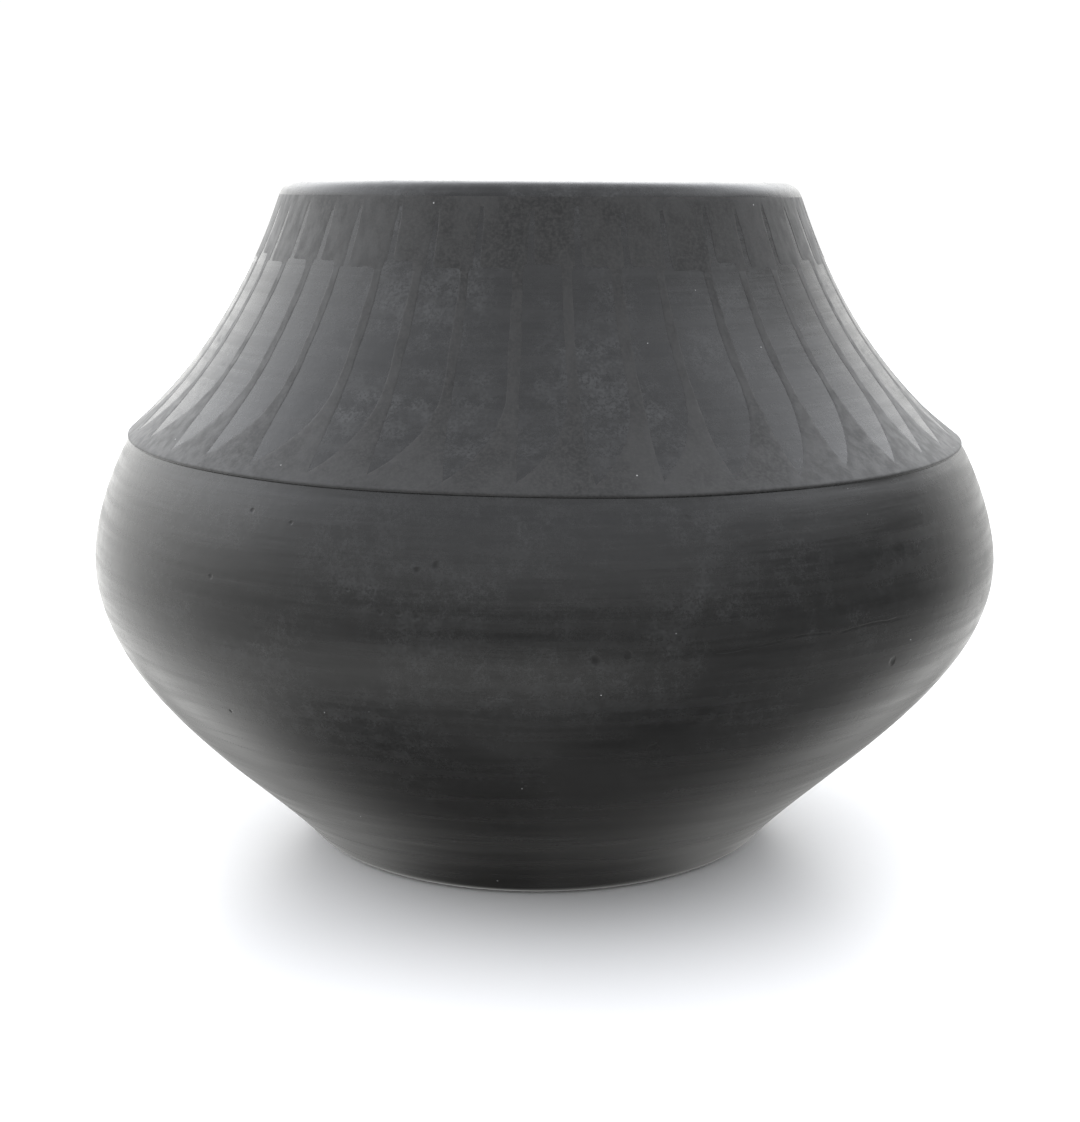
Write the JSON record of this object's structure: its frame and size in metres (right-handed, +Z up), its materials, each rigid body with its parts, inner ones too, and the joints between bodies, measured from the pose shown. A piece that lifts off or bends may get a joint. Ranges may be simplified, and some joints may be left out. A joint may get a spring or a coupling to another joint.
{
  "type": "pottery jar",
  "caption": "Round coil-built pottery jar with a low full belly, rolled ledge, concave shoulder painted with a matte feather band, and open mouth with rounded lip.",
  "frame": {"origin": "centre of the foot, on the surface that the jar stands on", "axes": "+Z up along the jar's axis, -Y towards the picture's camera, +X to its right"},
  "size_m": [0.216, 0.216, 0.1578],
  "materials": {
    "smoked_clay": "smoothed, unpolished, smoked in the firing",
    "polished_slip": "stone-burnished, glossy",
    "matte_paint": "matte painted slip"
  },
  "bodies": {
    "root": {"base_pancake": "smoked_clay", "lower_coil_1": "smoked_clay", "lower_coil_2": "smoked_clay", "lower_coil_3": "smoked_clay", "lower_coil_4": "smoked_clay", "belly_coil": "smoked_clay", "upper_belly_coil": "smoked_clay", "ledge_coil": "smoked_clay", "shoulder_coil_1": "smoked_clay", "shoulder_coil_2": "smoked_clay", "neck_coil": "smoked_clay", "lip_coil": "smoked_clay", "polished_slip": "polished_slip", "matte_quill_band": "matte_paint", "matte_feather_ground": "matte_paint"}
  },
  "joints": []
}
